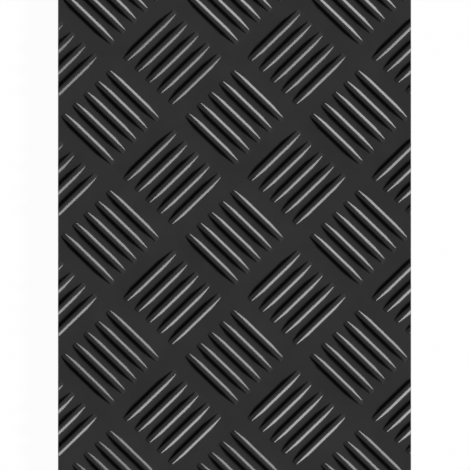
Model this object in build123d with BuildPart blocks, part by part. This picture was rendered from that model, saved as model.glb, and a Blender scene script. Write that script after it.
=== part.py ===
"""Five-bar checker plate: a strip of hot-rolled steel plate with a raised tread pattern.

The plate lies flat, X across the strip, Y along it and Z up, with the origin at the middle
of its underside. The pattern is rolled into the upper face: groups of parallel bars that
lie by turns one way and the other, and run on past the cut edges of the strip.
"""

import math
import os

from build123d import *

# Plate, in millimetres
plate_width = 150.0
plate_length = 300.0
plate_thickness = 5.0

# Tread pattern: pitch of the groups that lie the same way, and the bars in one group
group_pitch_x = 52.8
group_pitch_y = 51.0
bars_per_group = 5
bar_spacing = 6.62

# One tread bar: its foot narrows from the ends of the level crest to the noses, where the crest
# has run down to the plate
bar_length = 29.7
bar_width = 4.25
bar_height = 0.85
nose_width = 1.7
crest_length = 19.6
crest_width = 1.45

# The bars of a group lie along one diagonal of the pattern and are spaced along the other
diagonal_angle = math.degrees(math.atan2(group_pitch_y, group_pitch_x))
across_share = math.cos(math.radians(diagonal_angle))
along_share = math.sin(math.radians(diagonal_angle))
group_span = (bars_per_group - 1) * bar_spacing

# Groups of one lie are on the plate's centre lines, those of the other lie half a pitch off;
# both run out to the last group that still reaches over an edge
group_reach = (group_span + bar_length) / 2
pitches_x = (plate_width / 2 + group_reach * across_share) / group_pitch_x
pitches_y = (plate_length / 2 + group_reach * along_share) / group_pitch_y
centred_columns = 2 * math.floor(pitches_x) + 1
centred_rows = 2 * math.floor(pitches_y) + 1
shifted_columns = 2 * math.floor(pitches_x + 1 / 2)
shifted_rows = 2 * math.floor(pitches_y + 1 / 2)


def bar_places(lie):
    """Where the bars of one group stand about its centre, rising to the right or falling."""
    places = []
    for bar in range(bars_per_group):
        offset = bar * bar_spacing - group_span / 2
        point = (offset * across_share, -lie * offset * along_share, plate_thickness)
        places.append(Location(point, (0, 0, lie * diagonal_angle)))
    return places


# One tread bar at the origin, along X: the hull of the corners of its foot and of its crest
bar_corners = []
for end in (-1, 1):
    for side in (-1, 1):
        bar_corners.append((end * bar_length / 2, side * nose_width / 2, 0))
        bar_corners.append((end * crest_length / 2, side * bar_width / 2, 0))
        bar_corners.append((end * crest_length / 2, side * crest_width / 2, bar_height))

with BuildPart() as tread_bar:
    ConvexPolyhedron(bar_corners)

# The plate with its bars in one piece, trimmed to the strip's cut edges
with BuildPart() as checker_plate:
    standing = (Align.CENTER, Align.CENTER, Align.MIN)
    Box(plate_width, plate_length, plate_thickness, align=standing)
    with GridLocations(group_pitch_x, group_pitch_y, centred_columns, centred_rows):
        with Locations(*bar_places(-1)):
            add(tread_bar.part)
    with GridLocations(group_pitch_x, group_pitch_y, shifted_columns, shifted_rows):
        with Locations(*bar_places(1)):
            add(tread_bar.part)
    Box(plate_width, plate_length, plate_thickness + bar_height, align=standing, mode=Mode.INTERSECT)

checker_plate.part.label = "checker_plate"
os.makedirs("parts", exist_ok=True)
export_step(checker_plate.part, "parts/checker_plate.step")
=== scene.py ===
"""Looks of the checker plate: its rolled tread with rounded bars, its mill scale and its sheared sides."""

import math

import bmesh
import bpy
from mathutils import Matrix, Vector


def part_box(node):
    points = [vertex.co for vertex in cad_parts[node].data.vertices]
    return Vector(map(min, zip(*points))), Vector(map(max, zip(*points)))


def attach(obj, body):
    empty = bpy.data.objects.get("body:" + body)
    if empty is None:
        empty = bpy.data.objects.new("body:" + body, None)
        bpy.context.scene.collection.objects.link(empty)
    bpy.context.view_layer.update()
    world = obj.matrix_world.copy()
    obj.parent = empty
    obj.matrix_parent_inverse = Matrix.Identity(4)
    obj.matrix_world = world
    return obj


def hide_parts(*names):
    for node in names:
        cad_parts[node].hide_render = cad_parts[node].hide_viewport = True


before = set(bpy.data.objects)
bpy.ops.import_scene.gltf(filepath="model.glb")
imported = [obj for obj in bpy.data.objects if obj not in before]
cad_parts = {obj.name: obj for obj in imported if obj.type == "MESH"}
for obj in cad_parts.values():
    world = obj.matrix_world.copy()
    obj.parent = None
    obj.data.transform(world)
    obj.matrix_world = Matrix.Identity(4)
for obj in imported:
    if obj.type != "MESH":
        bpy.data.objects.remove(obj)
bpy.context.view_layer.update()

mm = 0.001

# Plate: the highest corner of the solid's box gives its width, its length and its height over the bars
plate_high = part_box("checker_plate")[1]
half_width = plate_high.x
half_length = plate_high.y
plate_face = 5.0 * mm
bar_height = plate_high.z - plate_face

# Tread pattern, as in the solid: the bars of a group lie along one diagonal and are spaced along the other
group_pitch_x = 52.8 * mm
group_pitch_y = 51.0 * mm
bars_per_group = 5
bar_spacing = 6.62 * mm
diagonal_angle = math.atan2(group_pitch_y, group_pitch_x)
group_span = (bars_per_group - 1) * bar_spacing

# One bar: its crest is level along the middle, then runs down and widens to blunt noses that keep a share of
# its height
bar_half_length = 14.9 * mm
level_half_length = 8.0 * mm
run_out_power = 1.3
crest_half_width = 0.4 * mm
nose_half_width = 0.95 * mm
nose_height_share = 0.1

# Its flanks have one slope, so they run less far out where the crest is lower. Shares of that run and of the
# height, from the toe up, give them a hollow root and a round shoulder
flank_run = 1.9 * mm
flank_shares = ((0, 0), (0.3, 0.22), (0.72, 0.86), (1, 1))

# Points round a bar, gathered towards its noses so that the innermost stand where its crest starts down
outline_points = 16
half_step = math.pi / outline_points
gathering_power = math.log(level_half_length / bar_half_length, math.tan(half_step))

# The tread is rolled on a sheet that is larger than the plate all round. Its flat is filled in with the sheet
# turned a little, because points in level rows can make the fill leave gaps
sheet_margin = 3 * bar_half_length
fill_turn = math.radians(7)

# Sheared sides: a broken edge, the band that the blade burnished, and a torn band that leans in below it. The
# side lines go down them, each with its inset from the plate's box and the height that it is at most
edge_break = 0.15 * mm
burnish_foot = 3.4 * mm
torn_lean = 0.15 * mm
cut_axes = ((0, half_width), (1, half_length))
side_lines = ((0, plate_high.z), (0, burnish_foot), (torn_lean, edge_break), (torn_lean + edge_break, 0))

# Mesh limits: points nearer than this are one, faces this upright are cut sides, and sharper edges stay sharp
tiny = 0.001 * mm
upright_share = 0.1
sharp_angle = math.radians(40)

# Mill scale: sizes of its clouds and grain, and its gloss
cloud_size = 14 * mm
scale_grain = 0.9 * mm
scale_relief = 0.003 * mm
scale_smooth = 0.22
scale_rough = 0.28
oxide_ior = 2.3

# Sheared steel: sizes of its streaks and grain, its gloss, and how much of the grain's relief each band has
streak_width = 1.6 * mm
streak_length = 12 * mm
ragged_depth = 1.2 * mm
torn_grain = 1.0 * mm
torn_relief = 0.05 * mm
torn_rough = 0.6
burnished_rough = 0.35
torn_relief_share = 1
burnished_relief_share = 0.1

# Noise keeps mostly between these two shares of its range, and has this many finer layers
noise_low_share = 0.25
noise_high_share = 0.75
noise_detail = 3

# Studio, in metres, with the brightness of a panel as the eye sees it, where 1 is white
ground_reach = 6
ground_white_share = 0.97
side_panel_turn = math.radians(50)
side_panel_rise = math.radians(27)
side_panel_reach = 2.4
side_panel_width = 2.4
side_panel_height = 0.95
side_panel_brightness = 3.0
top_panel_reach = 4.0
top_panel_width = 4.6
top_panel_brightness = 0.04
fill_rise = math.radians(19)
fill_spread = math.radians(8)
fill_brightness = 0.95
world_brightness = 0.004

# View, square from above: the width that it takes in, its middle, and a long lens
view_width = 199.7 * mm
view_middle = (0.2 * mm, 1.0 * mm)
lens_length = 600
sensor_width = 36


def mix(start, end, share):
    """The value a share of the way from the start to the end."""
    return start + (end - start) * share


def on_flank(spoke, run_share, rise_share):
    """Where a spoke of a round ring meets the bar, at a share of the flank's run in from its toe."""
    along = bar_half_length * min(1, abs(spoke.x)) ** gathering_power
    run_out_share = max(0, along - level_half_length) / (bar_half_length - level_half_length)
    height_share = mix(1, nose_height_share, run_out_share**run_out_power)
    crest_side = mix(nose_half_width, crest_half_width, height_share)
    run = flank_run * height_share
    across = crest_side + run * (1 - run_share)
    if along > bar_half_length - tiny:
        # The nose slopes as the flanks do
        along -= run * run_share
    height = bar_height * height_share * rise_share
    return Vector((math.copysign(along, spoke.x), math.copysign(across, spoke.y), height))


def shape_bar():
    """One tread bar along X, on the level of the plate's face: rings bridged up to the crest, open below."""
    bm = bmesh.new()
    past_nose = Matrix.Rotation(half_step, 4, "Z")
    circle_radius = 1 / math.cos(half_step)
    last_loop = []
    for run_share, rise_share in flank_shares:
        ring = bmesh.ops.create_circle(bm, segments=outline_points, radius=circle_radius, matrix=past_nose)
        for vert in ring["verts"]:
            vert.co = on_flank(vert.co, run_share, rise_share)
        loop = list(dict.fromkeys(edge for vert in ring["verts"] for edge in vert.link_edges))
        if last_loop:
            bmesh.ops.bridge_loops(bm, edges=last_loop + loop)
        last_loop = loop
    sides = [edge for edge in last_loop if edge.verts[0].co.y * edge.verts[1].co.y > 0]
    bmesh.ops.bridge_loops(bm, edges=sides)
    mesh = bpy.data.meshes.new("tread_bar")
    bm.to_mesh(mesh)
    bm.free()
    return mesh


def bar_places():
    """Where the bars that reach the plate stand: groups of one lie on its centre lines, the rest between."""
    columns = math.ceil(half_width / group_pitch_x) + 1
    rows = math.ceil(half_length / group_pitch_y) + 1
    places = []
    for lie, shift in ((-1, 0), (1, 1 / 2)):
        turn = Matrix.Rotation(lie * diagonal_angle, 4, "Z")
        for column in range(-columns, columns + 1):
            for row in range(-rows, rows + 1):
                for bar in range(bars_per_group):
                    offset = bar * bar_spacing - group_span / 2
                    x = (column + shift) * group_pitch_x + offset * math.cos(diagonal_angle)
                    y = (row + shift) * group_pitch_y - lie * offset * math.sin(diagonal_angle)
                    if abs(x) < half_width + bar_half_length and abs(y) < half_length + bar_half_length:
                        places.append(Matrix.Translation((x, y, plate_face)) @ turn)
    return places


def roll_sheet(bm):
    """The tread face of a sheet larger than the plate: all the bars, and the flat steel between them."""
    bar_mesh = shape_bar()
    for place in bar_places():
        bar_start = len(bm.verts)
        bm.from_mesh(bar_mesh)
        bm.verts.ensure_lookup_table()
        bmesh.ops.transform(bm, matrix=place, verts=bm.verts[bar_start:])
    bpy.data.meshes.remove(bar_mesh)
    toes = [edge for edge in bm.edges if edge.is_boundary]
    sheet_x = half_width + sheet_margin
    sheet_y = half_length + sheet_margin
    corners = [
        bm.verts.new((x, y, plate_face))
        for x, y in ((-sheet_x, -sheet_y), (sheet_x, -sheet_y), (sheet_x, sheet_y), (-sheet_x, sheet_y))
    ]
    rim = [bm.edges.new((start, end)) for start, end in zip(corners, corners[1:] + corners[:1])]
    askew = Matrix.Rotation(fill_turn, 4, "Z")
    bm.transform(askew)
    bmesh.ops.triangle_fill(bm, use_beauty=True, edges=rim + toes)
    bm.transform(askew.inverted())


def shear_to_size(bm):
    """Cuts the sheet along the plate's four sides, a broken edge inside its box."""
    for axis, reach in cut_axes:
        for way in (-1, 1):
            outward = Vector((0, 0, 0))
            outward[axis] = way
            bmesh.ops.bisect_plane(
                bm,
                geom=bm.verts[:] + bm.edges[:] + bm.faces[:],
                dist=tiny,
                plane_co=outward * (reach - edge_break),
                plane_no=outward,
                clear_outer=True,
            )


def drop_sides(bm):
    """Carries the cut outline over its broken edge, down the sheared sides and in under the plate."""
    outline = [edge for edge in bm.edges if edge.is_boundary]
    last_inset = edge_break
    for inset, height in side_lines:
        made = bmesh.ops.extrude_edge_only(bm, edges=outline)["geom"]
        for vert in (item for item in made if isinstance(item, bmesh.types.BMVert)):
            for axis, reach in cut_axes:
                if abs(vert.co[axis]) > reach - last_inset - tiny:
                    vert.co[axis] = math.copysign(reach - inset, vert.co[axis])
            vert.co.z = min(vert.co.z - edge_break, height)
        outline = [item for item in made if isinstance(item, bmesh.types.BMEdge) and item.is_boundary]
        last_inset = inset
    bmesh.ops.contextual_create(bm, geom=outline)


def build_plate():
    """The plate in one closed mesh: mill scale above and below, bare steel on the sheared sides."""
    bm = bmesh.new()
    roll_sheet(bm)
    shear_to_size(bm)
    drop_sides(bm)
    bmesh.ops.recalc_face_normals(bm, faces=bm.faces)
    for face in bm.faces:
        face.smooth = True
        face.material_index = 1 if abs(face.normal.z) < upright_share else 0
    for edge in bm.edges:
        edge.smooth = edge.calc_face_angle(0) < sharp_angle
    mesh = bpy.data.meshes.new("rolled_plate")
    bm.to_mesh(mesh)
    bm.free()
    mesh.materials.append(mill_scale())
    mesh.materials.append(sheared_steel())
    piece = bpy.data.objects.new("rolled_plate", mesh)
    bpy.context.scene.collection.objects.link(piece)
    shading = piece.modifiers.new("even_shading", "WEIGHTED_NORMAL")
    shading.keep_sharp = True
    return piece


def linear(hex_colour):
    """A linear colour from an sRGB hex value."""
    shares = [int(hex_colour[i : i + 2], 16) / 255 for i in (1, 3, 5)]
    return [s / 12.92 if s <= 0.04045 else ((s + 0.055) / 1.055) ** 2.4 for s in shares] + [1]


def add_node(tree, kind, inputs=None, stops=(), **settings):
    """Adds a node with its settings, sets a ramp's stops, and fills inputs with values or links them."""
    made = tree.nodes.new(kind)
    for name, value in settings.items():
        setattr(made, name, value)
    for number, (place, hex_colour) in enumerate(stops):
        made.color_ramp.elements[number].position = place
        made.color_ramp.elements[number].color = linear(hex_colour)
    for socket, value in (inputs or {}).items():
        if isinstance(value, bpy.types.NodeSocket):
            tree.links.new(value, made.inputs[socket])
        else:
            made.inputs[socket].default_value = value
    return made


def new_material(name):
    """An empty material of that name, and its node tree."""
    material = bpy.data.materials.new(name)
    material.use_nodes = True
    material.node_tree.nodes.clear()
    return material, material.node_tree


def mill_scale():
    """Mill scale, the iron oxide skin of hot-rolled steel: an even dark grey, with the strong satin gloss of
    oxide. Its grain is finer than a pixel, and is drawn coarser so that it shows."""
    material, tree = new_material("mill_scale_steel")
    place = add_node(tree, "ShaderNodeTexCoord").outputs["Object"]
    cloud = add_node(tree, "ShaderNodeTexNoise", {
        "Vector": place,
        "Scale": 1 / cloud_size,
        "Detail": noise_detail,
    })
    grain = add_node(tree, "ShaderNodeTexNoise", {
        "Vector": place,
        "Scale": 1 / scale_grain,
        "Detail": noise_detail,
    })
    tones = ((0.35, "#2c2c2c"), (0.65, "#303030"))
    tone = add_node(tree, "ShaderNodeValToRGB", {"Fac": cloud.outputs["Fac"]}, tones)
    rough = add_node(tree, "ShaderNodeMapRange", {
        "Value": grain.outputs["Fac"],
        "To Min": scale_smooth,
        "To Max": scale_rough,
    })
    bump = add_node(tree, "ShaderNodeBump", {
        "Height": grain.outputs["Fac"],
        "Strength": 1,
        "Distance": scale_relief,
    })
    shader = add_node(tree, "ShaderNodeBsdfPrincipled", {
        "Base Color": tone.outputs["Color"],
        "Roughness": rough.outputs["Result"],
        "Normal": bump.outputs["Normal"],
        "IOR": oxide_ior,
    })
    add_node(tree, "ShaderNodeOutputMaterial", {"Surface": shader.outputs["BSDF"]})
    return material


def sheared_steel():
    """Bare steel where the blade cut it: a bright burnished band with streaks down it, which gives way along
    a ragged line to a dull, torn one. Streaks and grain are drawn coarse enough to show."""
    material, tree = new_material("sheared_steel")
    place = add_node(tree, "ShaderNodeTexCoord").outputs["Object"]
    stretch = (1 / streak_width, 1 / streak_width, 1 / streak_length)
    drawn_out = add_node(tree, "ShaderNodeMapping", {"Vector": place, "Scale": stretch}).outputs["Vector"]
    streaks = add_node(tree, "ShaderNodeTexNoise", {
        "Vector": drawn_out,
        "Scale": 1,
        "Detail": noise_detail,
    })
    grain = add_node(tree, "ShaderNodeTexNoise", {
        "Vector": place,
        "Scale": 1 / torn_grain,
        "Detail": noise_detail,
    })
    height = add_node(tree, "ShaderNodeSeparateXYZ", {"Vector": place}).outputs["Z"]
    ragged_line = {0: streaks.outputs["Fac"], 1: ragged_depth, 2: height}
    ragged = add_node(tree, "ShaderNodeMath", ragged_line, operation="MULTIPLY_ADD")
    band = add_node(tree, "ShaderNodeMapRange", {
        "Value": ragged.outputs["Value"],
        "From Min": burnish_foot + ragged_depth * noise_low_share,
        "From Max": burnish_foot + ragged_depth * noise_high_share,
    }).outputs["Result"]
    torn_tones = ((0.3, "#3c3d3e"), (0.7, "#6e6f70"))
    torn = add_node(tree, "ShaderNodeValToRGB", {"Fac": grain.outputs["Fac"]}, torn_tones)
    burnished_tones = ((0.3, "#747576"), (0.7, "#a6a7a8"))
    burnished = add_node(tree, "ShaderNodeValToRGB", {"Fac": streaks.outputs["Fac"]}, burnished_tones)
    # A colour mix has its share on socket 0, its colours on sockets 6 and 7, and its result on socket 2
    colours = {0: band, 6: torn.outputs["Color"], 7: burnished.outputs["Color"]}
    tone = add_node(tree, "ShaderNodeMix", colours, data_type="RGBA")
    rough = add_node(tree, "ShaderNodeMapRange", {
        "Value": band,
        "To Min": torn_rough,
        "To Max": burnished_rough,
    })
    relief = add_node(tree, "ShaderNodeMapRange", {
        "Value": band,
        "To Min": torn_relief_share,
        "To Max": burnished_relief_share,
    })
    bump = add_node(tree, "ShaderNodeBump", {
        "Height": grain.outputs["Fac"],
        "Strength": relief.outputs["Result"],
        "Distance": torn_relief,
    })
    shader = add_node(tree, "ShaderNodeBsdfPrincipled", {
        "Base Color": tone.outputs[2],
        "Metallic": 1,
        "Roughness": rough.outputs["Result"],
        "Normal": bump.outputs["Normal"],
    })
    add_node(tree, "ShaderNodeOutputMaterial", {"Surface": shader.outputs["BSDF"]})
    return material


def white_ground():
    """Plain white paper: white to the eye and in reflections, with a faint shadow under the plate."""
    material, tree = new_material("white_paper")
    path = add_node(tree, "ShaderNodeLightPath")
    seen = path.outputs["Is Camera Ray"]
    for ray in ("Is Glossy Ray", "Is Transmission Ray"):
        either = add_node(tree, "ShaderNodeMath", {0: seen, 1: path.outputs[ray]}, operation="MAXIMUM")
        seen = either.outputs["Value"]
    share = add_node(tree, "ShaderNodeMath", {0: seen, 1: ground_white_share}, operation="MULTIPLY")
    paper = add_node(tree, "ShaderNodeBsdfDiffuse", {"Color": linear("#f4f4f4")})
    glow = add_node(tree, "ShaderNodeEmission", {"Color": linear("#ffffff"), "Strength": 1})
    both = add_node(tree, "ShaderNodeMixShader", {
        0: share.outputs["Value"],
        1: paper.outputs["BSDF"],
        2: glow.outputs["Emission"],
    })
    add_node(tree, "ShaderNodeOutputMaterial", {"Surface": both.outputs["Shader"]})
    return material


def lay_ground():
    """The white ground that the plate lies on, which reaches well past the picture on all sides."""
    bm = bmesh.new()
    bmesh.ops.create_grid(bm, x_segments=1, y_segments=1, size=ground_reach)
    mesh = bpy.data.meshes.new("ground")
    bm.to_mesh(mesh)
    bm.free()
    mesh.materials.append(white_ground())
    ground = bpy.data.objects.new("ground", mesh)
    bpy.context.scene.collection.objects.link(ground)


def hang_panel(name, place, width, height, brightness):
    """A soft panel that faces the plate, as bright as the eye would see it, and out of the picture."""
    lamp = bpy.data.lights.new(name, "AREA")
    lamp.shape = "RECTANGLE"
    lamp.size = width
    lamp.size_y = height
    lamp.energy = brightness * math.pi * width * height
    panel = bpy.data.objects.new(name, lamp)
    panel.location = place
    panel.rotation_euler = (-place).to_track_quat("-Z", "Y").to_euler()
    panel.visible_camera = False
    bpy.context.scene.collection.objects.link(panel)
    return panel


def light_studio():
    """Two panels on the right that only the gloss shows, a faint one overhead, and a low fill from the right
    that lights the steel's own colour to a plain level but leaves the left flanks dark."""
    for name, turn in (("near_panel", -side_panel_turn), ("far_panel", side_panel_turn)):
        towards = Vector((math.cos(turn), math.sin(turn), math.tan(side_panel_rise))).normalized()
        place = towards * side_panel_reach
        panel = hang_panel(name, place, side_panel_width, side_panel_height, side_panel_brightness)
        panel.visible_diffuse = False
    overhead = Vector((0, 0, top_panel_reach))
    hang_panel("top_panel", overhead, top_panel_width, top_panel_width, top_panel_brightness)
    lamp = bpy.data.lights.new("fill", "SUN")
    lamp.energy = fill_brightness * math.pi / math.sin(fill_rise)
    lamp.angle = fill_spread
    fill = bpy.data.objects.new("fill", lamp)
    fill.rotation_euler = (0, math.pi / 2 - fill_rise, 0)
    fill.visible_glossy = False
    bpy.context.scene.collection.objects.link(fill)
    world = bpy.data.worlds.new("dim_room")
    world.use_nodes = True
    world.node_tree.nodes["Background"].inputs["Strength"].default_value = world_brightness
    world.node_tree.nodes["Background"].inputs["Color"].default_value = linear("#ffffff")
    bpy.context.scene.world = world


def set_camera():
    """A camera straight above the plate, as high as the view's width and the lens need."""
    camera_data = bpy.data.cameras.new("camera")
    camera_data.lens = lens_length
    camera_data.sensor_width = sensor_width
    camera = bpy.data.objects.new("camera", camera_data)
    camera.location = (*view_middle, plate_face + view_width * lens_length / sensor_width)
    bpy.context.scene.collection.objects.link(camera)
    bpy.context.scene.camera = camera


plate = build_plate()
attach(plate, "root")
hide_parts("checker_plate")
lay_ground()
light_studio()
set_camera()
bpy.context.scene.view_settings.view_transform = "Standard"
